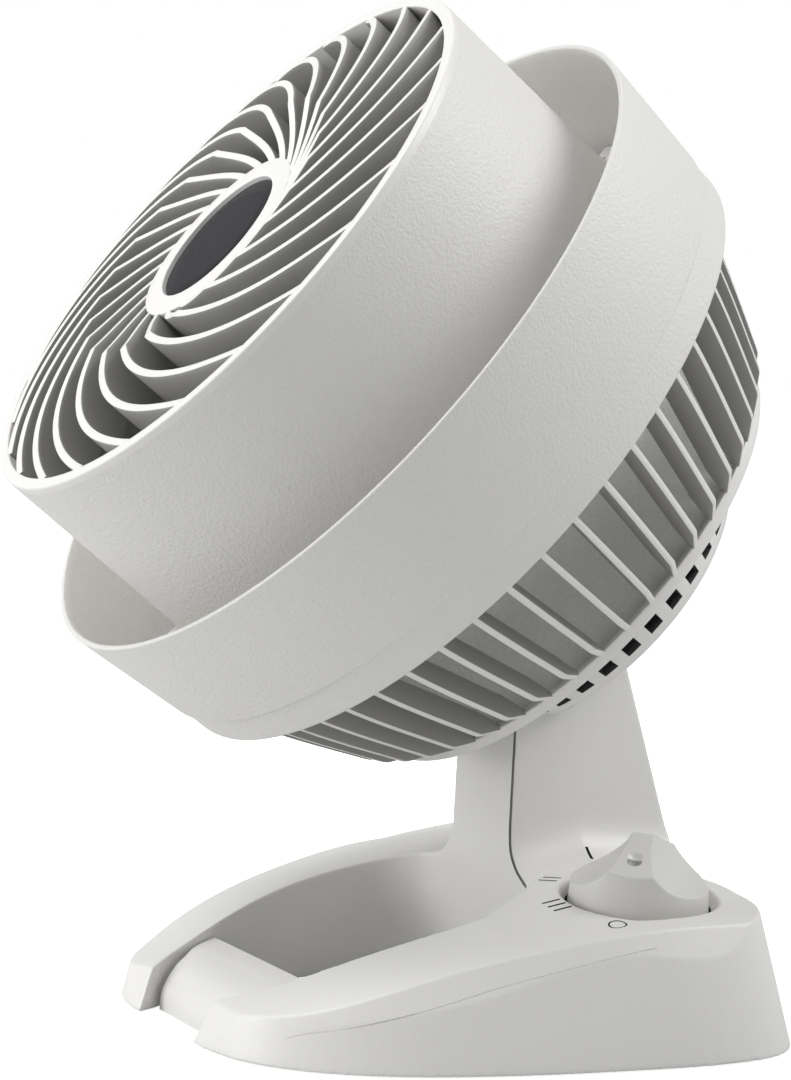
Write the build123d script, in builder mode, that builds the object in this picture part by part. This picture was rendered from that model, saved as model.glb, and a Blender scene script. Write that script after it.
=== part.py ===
from build123d import *
from math import cos, degrees, hypot, radians, sin
import os

os.makedirs("parts", exist_ok=True)

# Air circulator fan, millimetres, +Z up. The origin is the centre of the base's
# footprint, on the table. +X is the side with the speed knob; the fan blows
# towards -Y and up, with its head tilted back by head_tilt.

# --- base ---
base_half_width = 124.5
base_half_depth = 97.75
base_bottom = 0.6            # the rubber feet lift the shell off the table
base_draft_inset = 12.0      # how far the side walls lean in over loft_height
loft_height = 60.0
tip_x = 24.5                 # the prongs' front tips stand this far from the middle
wall = 2.4
bevel_w, bevel_h = 16, 32    # slope of the bevel round the top edge
cover_t = 2.0
opening_back = 22.0          # back wall of the opening, the front of the pedestal
opening_half_width = 55.5
feet_r, feet_t = 7.0, 1.0

# --- pedestal and its hinge ---
pedestal_half_width = 22.5
pedestal_foot = 47.0         # height where the pedestal grows out of the base
foot_flare = 15.0
seam_top = 100.0             # the front cover ends here, under the head
front_cover_t = 2.4
front_cover_half_width = 38.0
hinge_y, hinge_z = 40.25, 115.0
barrel_r = 14.0
hinge_pin_r = 4.0
running_gap = 0.05
lug_inner_x = 24.8
lug_wall = 2.5
washer_t, washer_r = 0.8, 9.5
pin_reach = 30.6
cover_bottom = 1.0
screw_r, screw_head_r, screw_head_t = 1.7, 3.3, 1.6
screw_end, screw_boss_r = 12.0, 4.5
inlet_y, inlet_z, inlet_r, cord_hole_r = 88.2, 16.0, 6.0, 3.2
ramp_crevice = 2.5

# --- head: its axis and the stations behind the front grille's rim ---
head_tilt = 40.0
head_y, head_z = -77.05, 269.0
axis_dir = (0, -cos(radians(head_tilt)), sin(radians(head_tilt)))
HEAD = Plane(origin=(0, head_y, head_z), x_dir=(1, 0, 0), z_dir=axis_dir)
# radius along x, distance in front of the rim along y
MERIDIAN = Plane(origin=HEAD.origin, x_dir=(0, -sin(radians(head_tilt)), -cos(radians(head_tilt))),
                 z_dir=(-1, 0, 0))
head_axis = Axis(HEAD.origin, axis_dir)
# the hinge as the head sees it: how far behind the rim, and how far from the axis
hinge_s = (hinge_y - head_y) * cos(radians(head_tilt)) + (head_z - hinge_z) * sin(radians(head_tilt))
hinge_radial = (hinge_y - head_y) * sin(radians(head_tilt)) - (head_z - hinge_z) * cos(radians(head_tilt))

# --- front grille ---
grille_rim_r = 109.0
grille_open_r = 104.5
spigot_r, spigot_end = 106.3, 16.0
vane_count = 25
vane_t = 3.0
vane_depth = 14.0
vane_phase = 12.8
crest_r, crest_h = 56.5, 7.5
hub_r, badge_r = 35.0, 26.4
badge_t = 2.0
duct_straight = 76.0
duct_end, duct_end_r = 96.0, 119.0
standoff_count, standoff_phase = 5, 21.6
grille_screw_pcd_r = 120.3
flange_front = 104.0

# --- outer ring ---
ring_front, ring_rear = 53.1, 110.7
ring_r, ring_rear_r = 135.0, 130.0
ring_wall = 2.6
ring_lip_r = 124.0

# --- rear grille, cowl and cap ---
rib_count = 50
rib_t = 2.4
rib_front_r, rib_front = 123.5, 106.0
rib_knee_r, rib_knee = 101.5, 160.5
rear_rim_r, rear_rim = 94.0, 167.5
rib_depth = 9.0
rear_plate_t = 2.5
rear_plate_hole = 46.0
cap_r, cap_end = 64.0, 200.3
cap_wall = 2.4
cap_slots = 36
cap_slot_w = 5.0
notch_half_width = 28.0
notch_top, notch_bottom = -7.0, -66.0
bracket_low, bracket_foot_low, bracket_foot_x, bracket_t = -54.0, -46.0, 39.5, 2.0

# --- motor and propeller ---
stator_r = 38.0
bracket_r = 41.0
shaft_r = 4.0
bearing_r = 11.0
cowl_hole_r = 43.0
stator_front, stator_rear = 125.0, 155.0
stator_slots, winding_r, winding_slot_l, winding_slot_w = 12, 29.5, 10.0, 5.0
rotor_r, air_gap = 20.0, 0.5
motor_screw_pcd_r = 51.0
shaft_front = 51.5
prop_hub_r, prop_tip_r = 31.0, 101.5
prop_front, prop_rear = 56.0, 92.0
blade_count = 3
blade_t = 2.2
blade_sweep = 100.0          # angle that one blade covers

# --- speed knob ---
knob_x, knob_y, knob_z = 75.0, 44.25, 48.0
knob_lean = 8.0              # the dial face leans outwards
knob_r, knob_top_r = 23.8, 22.6
knob_peak, knob_end_h = 21.3, 12.6   # the grip's crest, and its two low ends
crest_half = 5.0             # half the length of the rounded crest
scoop_x, scoop_z, scoop_r = 25.7, 26.7, 22.4   # finger scoops on both sides of the grip
dimple_at, dimple_r, dimple_sink = 13.5, 3.5, 1.0
pocket_r, pocket_floor_r, pocket_depth = 27.2, 24.3, 4.5
pad_r, pad_foot_r = 28.4, 37.0       # low mound that carries the dial
switch_shaft_r, shaft_top = 3.0, 9.0
bushing_r, switch_size = 5.0, 26.0
pointer_angle = -39.0        # where the grip points when the fan is off
HINGE = Plane(origin=(0, hinge_y, hinge_z), x_dir=(0, 1, 0), z_dir=(1, 0, 0))
DIAL = Plane(origin=(knob_x, knob_y, knob_z), x_dir=(cos(radians(knob_lean)), 0, -sin(radians(knob_lean))),
             z_dir=(sin(radians(knob_lean)), 0, cos(radians(knob_lean))))


def spiral_angle(r):
    """Angle in degrees that a vane has turned at radius r, from its crest."""
    if r >= crest_r:
        x = (r - crest_r) / (grille_open_r - crest_r)
        return 48.6 * x - 16.2 * x**2 + 14.4 * x**3
    y = (crest_r - r) / 17.6
    return -13.7 * y - 8.5 * y**2


def polar(r, angle):
    return (r * cos(radians(angle)), r * sin(radians(angle)))


def vane_point(r, side):
    """Point on one side of a vane, half its thickness from the middle line."""
    turn = radians(spiral_angle(r + 0.1) - spiral_angle(r - 0.1)) / 0.2 * r
    half = side * vane_t / 2 / hypot(turn, 1)
    return polar(r - turn * half, spiral_angle(r) + degrees(half / r))


def section(*points):
    """Closed outline of a turned piece: radius, and distance behind the rim."""
    with BuildSketch(MERIDIAN) as outline:
        with BuildLine():
            Polyline(*[(r, -s) for r, s in points], close=True)
        make_face()
    return outline.sketch


def turned(*points):
    return revolve(section(*points), axis=head_axis)


# ---------------------------------------------------------------- stand
side_points = [(tip_x, -base_half_depth), (40, -96.7), (56, -93), (86, -71), (108, -30), (121, 22),
               (base_half_width, 55), (119.5, 74), (101, 87), (60, 95)]
# y, height in the middle, x and height of the crease where the bevel starts
top_stations = [(-100, 9.5, 44, 9), (-90, 15.6, 58, 15.2), (-71, 23, 79.5, 20.5), (-46, 31.6, 93, 29.3),
                (-15, 39.6, 103, 37.2), (18, 47.8, 110.5, 42.6), (50, 57, 113, 43.9), (70, 54.2, 113, 43.8),
                (105, 45.5, 112, 42.3)]
nose_slope = [(-100.75, -1), (-97.75, base_bottom), (-91, 15.5), (-84, 30), (-120, 30), (-120, -1)]
foot_spots = [(100, 58), (-100, 58), (66, -70), (-66, -70)]
screw_spots = [(60, 80), (-60, 80), (80, -20), (-80, -20)]


def footprint(inset, height):
    """Outline of the base at a height, drawn in by inset."""
    fx = 1 - inset / base_half_width
    fy = 1 - inset / base_half_depth
    with BuildSketch(Plane.XY.offset(height)) as outline:
        with BuildLine():
            right = [(x * fx, y * fy) for x, y in side_points]
            left = [(-x, y) for x, y in reversed(right)]
            round_outline = Spline(*right, (0, base_half_depth * fy), *left)
            Line(round_outline @ 1, round_outline @ 0)
        make_face()
    return outline.sketch


def opening(grow):
    """The space between the prongs, open at the front, its walls moved out by grow."""
    with BuildSketch(Plane.XY) as outline:
        with BuildLine():
            side = Spline((25.2 + grow, -97.8), (37 + grow, -79), (47 + grow, -57),
                          (opening_half_width + grow, -12), (50.5 + grow, 9.5 + grow / 2),
                          (40 + grow / 2, 19.5 + grow), (28, opening_back + grow),
                          tangents=((0.45, 1), (-1, 0)))
            Polyline(side @ 0, (18 + grow, -112), (0, -112))
            Line(side @ 1, (0, opening_back + grow))
            mirror(about=Plane.YZ)
        make_face()
    return outline.sketch


def under_top(drop):
    """The space under the base's top and its bevelled edge, lowered by drop."""
    with BuildPart() as form:
        for y, middle_z, crease_x, crease_z in top_stations:
            x, z = crease_x - drop, crease_z - drop
            with BuildSketch(Plane.XZ.offset(-y)):
                with BuildLine():
                    Polyline((0, middle_z - drop), (x, z), (x + bevel_w, z - bevel_h),
                             (x + bevel_w, -30), (0, -30), close=True)
                make_face()
        loft()
        mirror(about=Plane.YZ)
    return form.part


def side_view(points, reach):
    """Solid with an outline drawn from the side, y and z, reaching out to both sides."""
    with BuildSketch(Plane.YZ) as outline:
        with BuildLine():
            Polyline(*points, close=True)
        make_face()
    return extrude(outline.sketch, amount=reach, both=True, mode=Mode.PRIVATE)


# Front view of the pedestal: straight sides that flare into the base's top.
with BuildPart() as pedestal_form:
    for y, foot_z in ((opening_back - 1, pedestal_foot), (50, pedestal_foot + 5.6),
                      (100, pedestal_foot - 0.5)):
        with BuildSketch(Plane.XZ.offset(-y)):
            with BuildLine():
                foot = (pedestal_half_width + foot_flare, foot_z)
                knee = (pedestal_half_width, foot_z + foot_flare)
                Line((0, 140), (pedestal_half_width, 140))
                Line((pedestal_half_width, 140), knee)
                RadiusArc(knee, foot, -foot_flare)
                Polyline(foot, (foot[0] + 6, foot_z - 1.2), (foot[0] + 6, 10), (0, 10))
                mirror(about=Plane.YZ)
            make_face()
    loft(ruled=True)
    with BuildSketch(Plane.YZ):
        with BuildLine():
            Line((opening_back, 5), (opening_back, 54))
            Line((opening_back, 54), (opening_back + 2.6, 100))
            front = Line((opening_back + 2.6, 100), (hinge_y - barrel_r, hinge_z))
            crown = RadiusArc(front @ 1, (hinge_y + 3, hinge_z + barrel_r - 0.35), barrel_r)
            Polyline(crown @ 1, (63, 124.5), (69, 119.5), (86, 58), (86.5, 50), (78, 30), (78, 5),
                     (opening_back, 5))
        make_face()
    extrude(amount=60, both=True, mode=Mode.INTERSECT)

# The front cover runs from the hinge down to the table, as the back wall of the opening.
cover_back = opening_back + front_cover_t
with BuildPart() as cover_room:
    with BuildSketch(Plane.YZ):
        Polygon((18, -2), (25, -2), (25, 43.5), (cover_back, 43.5), (cover_back, 54),
                (cover_back + 2.6, seam_top), (18, seam_top), align=None)
    extrude(amount=front_cover_half_width, both=True)

with BuildPart() as base_body:
    loft([footprint(0, base_bottom), footprint(base_draft_inset, base_bottom + loft_height)])
    add(under_top(0), mode=Mode.INTERSECT)
    add(side_view(nose_slope, 90), mode=Mode.SUBTRACT)
    with BuildSketch(DIAL.offset(-pocket_depth)):
        Circle(pad_foot_r)
    with BuildSketch(DIAL):
        Circle(pad_r)
    loft()
    add(pedestal_form.part)
    extrude(opening(0), amount=200, mode=Mode.SUBTRACT)

with BuildPart() as base_cavity:
    loft([footprint(wall, 0), footprint(base_draft_inset + wall, loft_height)])
    add(under_top(wall), mode=Mode.INTERSECT)
    extrude(opening(wall), amount=200, mode=Mode.SUBTRACT)
    add(side_view([(y + wall, z) for y, z in nose_slope], 90), mode=Mode.SUBTRACT)
    with BuildSketch(DIAL.offset(-pocket_depth - wall)):
        Circle(pocket_r + wall)
    extrude(amount=40, mode=Mode.SUBTRACT)
    with BuildSketch(Plane.XY.offset(3)):
        with Locations(*screw_spots):
            Circle(screw_boss_r)
    extrude(amount=60, mode=Mode.SUBTRACT)

with BuildPart() as base_shell:
    add(base_body.part)
    add(base_cavity.part, mode=Mode.SUBTRACT)
    add(cover_room.part, mode=Mode.SUBTRACT)
    with BuildSketch(DIAL.offset(-pocket_depth)):
        Circle(pocket_floor_r)
    with BuildSketch(DIAL):
        Circle(pocket_r)
    loft(mode=Mode.SUBTRACT)
    with BuildSketch(DIAL):
        Circle(pocket_r)
    extrude(amount=12, mode=Mode.SUBTRACT)
    with BuildSketch(DIAL):
        Circle(bushing_r)
    extrude(amount=-20, mode=Mode.SUBTRACT)
    with BuildSketch(HINGE.offset(-60)):
        Circle(hinge_pin_r)
    extrude(amount=120, mode=Mode.SUBTRACT)
    with BuildSketch(Plane.XY):
        with Locations(*screw_spots):
            Circle(screw_r)
    extrude(amount=screw_end, mode=Mode.SUBTRACT)
    with BuildSketch(Plane.XZ.offset(-105)):
        with Locations((0, inlet_z)):
            Circle(inlet_r)
    extrude(amount=14, mode=Mode.SUBTRACT)

with BuildPart() as pedestal_front_cover:
    add(base_body.part)
    add(base_cavity.part, mode=Mode.SUBTRACT)
    add(cover_room.part, mode=Mode.INTERSECT)

with BuildPart() as base_bottom_cover:
    extrude(footprint(wall + 0.3, cover_bottom), amount=cover_t)
    extrude(opening(wall + 0.3), amount=20, mode=Mode.SUBTRACT)
    add(side_view([(y + wall + 0.3, z) for y, z in nose_slope], 90), mode=Mode.SUBTRACT)
    with BuildSketch(Plane.XY):
        with Locations(*screw_spots):
            Circle(screw_r)
    extrude(amount=10, mode=Mode.SUBTRACT)
    with BuildSketch(Plane.XY):
        with Locations(*screw_spots):
            Circle(screw_head_r)
    extrude(amount=cover_bottom + screw_head_t, mode=Mode.SUBTRACT)

with BuildPart() as base_screws:
    with BuildSketch(Plane.XY.offset(cover_bottom)):
        with Locations(*screw_spots):
            Circle(screw_head_r)
    extrude(amount=screw_head_t)
    with BuildSketch(Plane.XY.offset(cover_bottom)):
        with Locations(*screw_spots):
            Circle(screw_r)
    extrude(amount=screw_end - cover_bottom)

with BuildPart() as rubber_feet:
    with BuildSketch(Plane.XY):
        with Locations(*foot_spots):
            Circle(feet_r)
    extrude(amount=feet_t)

# The plate that climbs from the table between the prongs, and its flanks against their walls.
with BuildPart() as ramp_slab:
    with BuildSketch(Plane.YZ):
        with BuildLine():
            top = Spline((-89.2, 0.4), (-87.3, 8), (-82.8, 13), (-78.8, 16), (-70.8, 18.8), (-65.8, 19.3),
                         (-61.3, 18.4))
            Polyline(top @ 1, (-61.3, 16), (-66, 16.8), (-70.5, 16.2), (-77.5, 13.4), (-81, 10.8),
                     (-85, 6.4), (-86.6, 0.4), top @ 0)
        make_face()
    extrude(amount=80, both=True)
with BuildPart() as ramp_flank:
    add(ramp_slab.part)
    extrude(opening(0), amount=60, mode=Mode.INTERSECT)
    add(side_view([(-76, -1), (-50, -1), (-50, 40), (-76, 40)], 90), mode=Mode.INTERSECT)
with BuildPart() as ramp_plate:
    add(ramp_slab.part)
    extrude(opening(-ramp_crevice), amount=60, mode=Mode.INTERSECT)
    add(ramp_flank.part)

with BuildPart() as cord_inlet_grommet:
    with BuildSketch(Plane.XZ.offset(-inlet_y)):
        with Locations((0, inlet_z)):
            Circle(inlet_r + 2)
            Circle(cord_hole_r, mode=Mode.SUBTRACT)
    extrude(amount=-1.5)
    with BuildSketch(Plane.XZ.offset(-inlet_y)):
        with Locations((0, inlet_z)):
            Circle(inlet_r)
            Circle(cord_hole_r, mode=Mode.SUBTRACT)
    extrude(amount=-9)

# Hinge hardware, along X.
with BuildPart() as hinge_pin:
    with BuildSketch(HINGE.offset(-pin_reach)):
        Circle(hinge_pin_r + 2)
    extrude(amount=pin_reach - lug_inner_x - lug_wall - 0.3)
    with BuildSketch(HINGE.offset(-pin_reach)):
        Circle(hinge_pin_r)
    extrude(amount=2 * pin_reach)
with BuildPart() as hinge_nut:
    with BuildSketch(HINGE.offset(lug_inner_x + lug_wall + 0.3)):
        RegularPolygon(hinge_pin_r + 2.4, 6)
        Circle(hinge_pin_r, mode=Mode.SUBTRACT)
    extrude(amount=pin_reach - lug_inner_x - lug_wall - 0.6)
with BuildPart() as friction_washers:
    with BuildSketch(HINGE.offset(pedestal_half_width)):
        Circle(washer_r)
        Circle(hinge_pin_r, mode=Mode.SUBTRACT)
    extrude(amount=washer_t)
    mirror(about=Plane.YZ)

# Speed switch under the dial.
with BuildPart() as speed_switch_body:
    with BuildSketch(DIAL.offset(-pocket_depth - wall)):
        RectangleRounded(switch_size, switch_size, 2)
        Circle(switch_shaft_r + running_gap, mode=Mode.SUBTRACT)
    extrude(amount=-14)
    with BuildSketch(DIAL.offset(-pocket_depth - wall)):
        Circle(bushing_r)
        Circle(switch_shaft_r + running_gap, mode=Mode.SUBTRACT)
    extrude(amount=wall + 2.5)
with BuildPart() as switch_nut:
    with BuildSketch(DIAL.offset(-pocket_depth)):
        RegularPolygon(8, 6)
        Circle(bushing_r, mode=Mode.SUBTRACT)
    extrude(amount=2)

# ---------------------------------------------------------------- knob
KNOB = Plane(origin=DIAL.origin, z_dir=DIAL.z_dir,
             x_dir=DIAL.x_dir * cos(radians(pointer_angle)) + DIAL.y_dir * sin(radians(pointer_angle)))
KNOB_END = Plane(origin=KNOB.origin, x_dir=KNOB.y_dir, z_dir=KNOB.x_dir)
KNOB_SIDE = Plane(origin=KNOB.origin, x_dir=KNOB.x_dir, z_dir=-KNOB.y_dir)
knob_bottom = -pocket_depth + 0.5
crest_z = knob_peak - 1.4            # where the crest's rounding meets the grip's end faces
end_slope = (crest_z - knob_end_h) / (knob_top_r - crest_half)
dimple_z = crest_z - end_slope * (dimple_at - crest_half)
with BuildPart() as speed_knob:
    with BuildSketch(KNOB.offset(knob_bottom)):
        Circle(knob_r)
    with BuildSketch(KNOB.offset(knob_peak)):
        Circle(knob_top_r - 0.7)
    loft()
    with BuildSketch(KNOB_END):
        for side in (1, -1):
            with Locations((side * scoop_x, scoop_z)):
                Circle(scoop_r)
    extrude(amount=40, both=True, mode=Mode.SUBTRACT)
    with BuildSketch(KNOB_SIDE):
        with BuildLine():
            crest = ThreePointArc((-crest_half, crest_z), (0, knob_peak), (crest_half, crest_z))
            Polyline(crest @ 1, (40, crest_z - end_slope * (40 - crest_half)), (40, 60), (-40, 60),
                     (-40, crest_z - end_slope * (40 - crest_half)), crest @ 0)
        make_face()
    extrude(amount=40, both=True, mode=Mode.SUBTRACT)
    with Locations(KNOB_SIDE.location * Location((dimple_at, dimple_z + dimple_r - dimple_sink, 0))):
        Sphere(dimple_r, mode=Mode.SUBTRACT)
    with BuildSketch(KNOB.offset(knob_bottom)):
        Circle(knob_r - 2.2)
    extrude(amount=pocket_depth + 0.6, mode=Mode.SUBTRACT)
    with BuildSketch(KNOB):
        Circle(switch_shaft_r)
    extrude(amount=shaft_top, mode=Mode.SUBTRACT)
with BuildPart() as switch_shaft:
    with BuildSketch(KNOB.offset(-18)):
        Circle(switch_shaft_r)
    extrude(amount=18 + shaft_top)

# ---------------------------------------------------------------- front grille
vane_radii = [34, 41, 48, 54, 60, 67, 76, 86, 96, 105.2]
with BuildPart() as vane:
    with BuildSketch(Plane.XY.offset(-vane_depth)):
        with BuildLine():
            left = Spline(*[vane_point(r, 1) for r in vane_radii])
            right = Spline(*[vane_point(r, -1) for r in vane_radii])
            Line(left @ 0, right @ 0)
            Line(left @ 1, right @ 1)
        make_face()
    extrude(amount=vane_depth + crest_h + 5)
    with BuildSketch(Plane.XZ):
        with BuildLine():
            dome = Spline((105.5, 0), (85, 4.9), (crest_r, crest_h))
            Polyline(dome @ 1, (hub_r, 0.8), (33, 0.5), (33, -vane_depth), (105.5, -vane_depth), dome @ 0)
        make_face()
    revolve(axis=Axis.Z, mode=Mode.INTERSECT)

with BuildPart(HEAD) as front_grille:
    turned((grille_open_r, 0.6), (105.5, 0), (grille_rim_r - 0.6, 0), (grille_rim_r, 0.8), (grille_rim_r, 3),
           (spigot_r, 3), (spigot_r, spigot_end), (grille_open_r, spigot_end))
    turned((0, badge_t - 0.4), (badge_r + 0.1, badge_t - 0.4), (badge_r + 0.1, -1), (badge_r + 1, -1.4),
           (hub_r - 0.8, -1), (hub_r, 0), (hub_r, vane_depth), (hub_r - 2.4, vane_depth),
           (hub_r - 2.4, badge_t + 2), (0, badge_t + 2))
    with PolarLocations(0, vane_count, start_angle=vane_phase):
        add(vane.part)

with BuildPart() as badge_disc:
    turned((0, -0.4), (badge_r - 0.5, -0.4), (badge_r, 0.1), (badge_r, badge_t - 0.4), (0, badge_t - 0.4))

# ---------------------------------------------------------------- ducts and ring
with BuildPart() as inner_duct:
    with BuildSketch(MERIDIAN):
        with BuildLine():
            Polyline((grille_rim_r, -duct_straight), (grille_rim_r, -3), (spigot_r, -3),
                     (spigot_r, -duct_straight))
            TangentArc((grille_rim_r, -duct_straight), (duct_end_r, -duct_end), tangent=(0, -1))
            TangentArc((spigot_r, -duct_straight), (duct_end_r - 2.2, -duct_end - 1), tangent=(0, -1))
            Line((duct_end_r, -duct_end), (duct_end_r - 2.2, -duct_end - 1))
        make_face()
    revolve(axis=head_axis)

with BuildPart() as outer_ring:
    turned((ring_r - 2.1, ring_front), (ring_r - 0.6, ring_front), (ring_r, ring_front + 0.8),
           (ring_rear_r + 0.9, ring_rear - 12), (ring_rear_r + 0.3, ring_rear - 11.5),
           (ring_rear_r, ring_rear - 1), (ring_rear_r - 0.8, ring_rear), (ring_lip_r, ring_rear),
           (ring_lip_r, ring_rear - 2.2), (ring_rear_r - ring_wall, ring_rear - 2.2),
           (ring_r - ring_wall, ring_front + 2))

flange_rear = ring_rear - 2.2
standoff_r = (duct_end_r - 1 + ring_rear_r - ring_wall) / 2
with BuildPart(HEAD) as duct_standoffs:
    with PolarLocations(standoff_r, standoff_count, start_angle=standoff_phase):
        with Locations((0, 0, -(duct_end + 1 + flange_front) / 2)):
            Box(ring_rear_r - ring_wall - duct_end_r + 1, 10, flange_front - duct_end - 1)
    with PolarLocations(grille_screw_pcd_r, standoff_count, start_angle=standoff_phase):
        Cylinder(screw_r, 2 * flange_front, mode=Mode.SUBTRACT)

# ---------------------------------------------------------------- rear grille
with BuildPart() as rib:
    with BuildSketch(Plane.XZ):
        with BuildLine():
            edge = Spline((rib_front_r, -rib_front), (112, -136), (105.4, -152), (rib_knee_r, -rib_knee))
            Polyline(edge @ 1, (rear_rim_r, -rear_rim), (rear_rim_r - 5, -rear_rim), (rear_rim_r - 3, -157.5),
                     (96.5, -150.5), (rib_front_r - rib_depth, -rib_front), edge @ 0)
        make_face()
    extrude(amount=rib_t / 2, both=True)

plate_rear = rear_rim + rear_plate_t
with BuildPart(HEAD) as rear_grille:
    turned((117.5, flange_front), (ring_rear_r - ring_wall, flange_front),
           (ring_rear_r - ring_wall, flange_rear), (117.5, flange_rear))
    turned((98.4, 157.2), (91.8, 163.6), (91.8, 166.9), (rear_rim_r, 166.9), (rear_rim_r, plate_rear),
           (rear_plate_hole, plate_rear), (rear_plate_hole, rear_rim), (89.5, rear_rim),
           (89.5, 162.5), (96.6, 155.4))
    with PolarLocations(0, rib_count, start_angle=-90):
        add(rib.part)
    with PolarLocations(grille_screw_pcd_r, standoff_count, start_angle=standoff_phase):
        Cylinder(screw_r, 400, mode=Mode.SUBTRACT)
    with PolarLocations(motor_screw_pcd_r, 4, start_angle=45):
        Cylinder(screw_r, 400, mode=Mode.SUBTRACT)

with BuildPart() as motor_cowl:
    with BuildSketch(MERIDIAN):
        with BuildLine():
            bell = Spline((87.5, -rear_rim), (79.5, -156), (70, -143), (66.5, -133), (66, -124),
                          tangents=((-0.35, 1), (0, 1)))
            inner = Spline((85.2, -rear_rim), (77.4, -156.6), (67.9, -143.4), (64.2, -132.6), (63.9, -124.2),
                           tangents=((-0.35, 1), (0, 1)))
            Polyline(bell @ 1, (62.5, -120.4), (cowl_hole_r, -120.4), (cowl_hole_r, -122.5),
                     (61.6, -122.5), inner @ 1)
            Line(bell @ 0, inner @ 0)
        make_face()
    revolve(axis=head_axis)

with BuildPart(HEAD) as rear_motor_cap:
    with BuildSketch(MERIDIAN):
        with BuildLine():
            edge = Spline((cap_r, -187), (61, -194.6), (53, -198.4), tangents=((0, -1), (-1, -0.06)))
            dome = Spline(edge @ 1, (0, -cap_end), tangents=((-1, -0.06), (-1, 0)))
            inner_dome = Spline((0, cap_wall - cap_end), (53, cap_wall - 198.4), tangents=((1, 0), (1, 0.06)))
            inner_edge = Spline(inner_dome @ 1, (59, -192.8), (cap_r - cap_wall, -186.6),
                                tangents=((1, 0.06), (0, 1)))
            Line(dome @ 1, inner_dome @ 0)
            Polyline(inner_edge @ 1, (cap_r - cap_wall, -plate_rear), (cap_r, -plate_rear), edge @ 0)
        make_face()
    revolve(axis=head_axis)
    with Locations((0, (notch_top + notch_bottom) / 2, -plate_rear - 22)):
        Box(2 * notch_half_width, notch_top - notch_bottom, 40, mode=Mode.SUBTRACT)
    with PolarLocations(cap_r, cap_slots):
        with Locations((0, 0, -187)):
            Box(16, cap_slot_w, 8.4, mode=Mode.SUBTRACT)

# Bracket that hangs the head on the hinge pin: radial distance along x, forward along y.
BRACKET = Plane(origin=HEAD.origin, x_dir=HEAD.y_dir, z_dir=(1, 0, 0))
hinge_spot = (hinge_radial, -hinge_s)
with BuildPart() as head_hinge_bracket:
    with BuildSketch(BRACKET.offset(lug_inner_x)):
        with Locations(hinge_spot):
            Circle(washer_r)
        with Locations(((notch_top + bracket_low) / 2, -plate_rear - 4)):
            Rectangle(notch_top - bracket_low, 8)
        make_hull()
    extrude(amount=lug_wall)
    with BuildSketch(BRACKET.offset(pedestal_half_width + washer_t + running_gap)):
        with Locations(hinge_spot):
            Circle(washer_r)
    extrude(amount=lug_inner_x - pedestal_half_width - washer_t - running_gap)
    with BuildSketch(HEAD.offset(-plate_rear)):
        with Locations(((lug_inner_x + bracket_foot_x) / 2, (bracket_foot_low + notch_top) / 2)):
            Rectangle(bracket_foot_x - lug_inner_x, notch_top - bracket_foot_low)
        with Locations((lug_inner_x / 2, notch_top - 1)):
            Rectangle(lug_inner_x, 2)
    extrude(amount=-bracket_t)
    with BuildSketch(HEAD.offset(-plate_rear)):
        with Locations((lug_inner_x / 2, notch_top - 1)):
            Rectangle(lug_inner_x, 2)
    extrude(amount=-8)
    mirror(about=Plane.YZ)
    with BuildSketch(BRACKET.offset(-60)):
        with Locations(hinge_spot):
            Circle(hinge_pin_r + running_gap)
    extrude(amount=120, mode=Mode.SUBTRACT)
    with BuildSketch(HEAD.offset(-plate_rear)):
        with PolarLocations(motor_screw_pcd_r, 4, start_angle=45):
            Circle(screw_r)
    extrude(amount=-bracket_t, mode=Mode.SUBTRACT)

# ---------------------------------------------------------------- motor
with BuildPart() as motor_front_bracket:
    turned((bearing_r, 112.5), (20, 112.5), (bracket_r, 118), (bracket_r, 133), (stator_r, 133),
           (stator_r, 121), (20, 116.5), (15, 116.5), (15, 119.5), (bearing_r, 119.5))
with BuildPart(HEAD) as motor_rear_bracket:
    turned((stator_r, 147), (bracket_r, 147), (bracket_r, 165.5), (56, 165.5), (56, rear_rim),
           (bearing_r, rear_rim), (bearing_r, 160), (15, 160), (15, 163.5), (stator_r, 163.5))
    with PolarLocations(motor_screw_pcd_r, 4, start_angle=45):
        Cylinder(screw_r, 400, mode=Mode.SUBTRACT)
with BuildPart() as front_bearing:
    turned((shaft_r + running_gap, 113), (bearing_r, 113), (bearing_r, 119), (shaft_r + running_gap, 119))
with BuildPart() as rear_bearing:
    turned((shaft_r + running_gap, 160.5), (bearing_r, 160.5), (bearing_r, 166), (shaft_r + running_gap, 166))
with BuildPart() as stator_core:
    with BuildSketch(HEAD.offset(-stator_rear)):
        Circle(stator_r)
        Circle(rotor_r + air_gap, mode=Mode.SUBTRACT)
        with PolarLocations(winding_r, stator_slots):
            Rectangle(winding_slot_l, winding_slot_w, mode=Mode.SUBTRACT)
    extrude(amount=stator_rear - stator_front)
with BuildPart() as stator_windings:
    with BuildSketch(HEAD.offset(-stator_rear)):
        with PolarLocations(winding_r, stator_slots):
            Rectangle(winding_slot_l, winding_slot_w)
    extrude(amount=stator_rear - stator_front)
    for station, height in ((stator_front, 3.6), (stator_rear + 5, 5)):
        with BuildSketch(HEAD.offset(-station)):
            Circle(winding_r + winding_slot_l / 2)
            Circle(winding_r - winding_slot_l / 2, mode=Mode.SUBTRACT)
        extrude(amount=height)
with BuildPart() as motor_screws:
    for angle, seat in ((45, plate_rear), (135, plate_rear), (225, plate_rear + bracket_t),
                        (315, plate_rear + bracket_t)):
        with BuildSketch(HEAD.offset(-seat)):
            with Locations(polar(motor_screw_pcd_r, angle)):
                Circle(screw_head_r)
        extrude(amount=-screw_head_t)
        with BuildSketch(HEAD.offset(-seat)):
            with Locations(polar(motor_screw_pcd_r, angle)):
                Circle(screw_r)
        extrude(amount=seat - 163)
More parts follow.
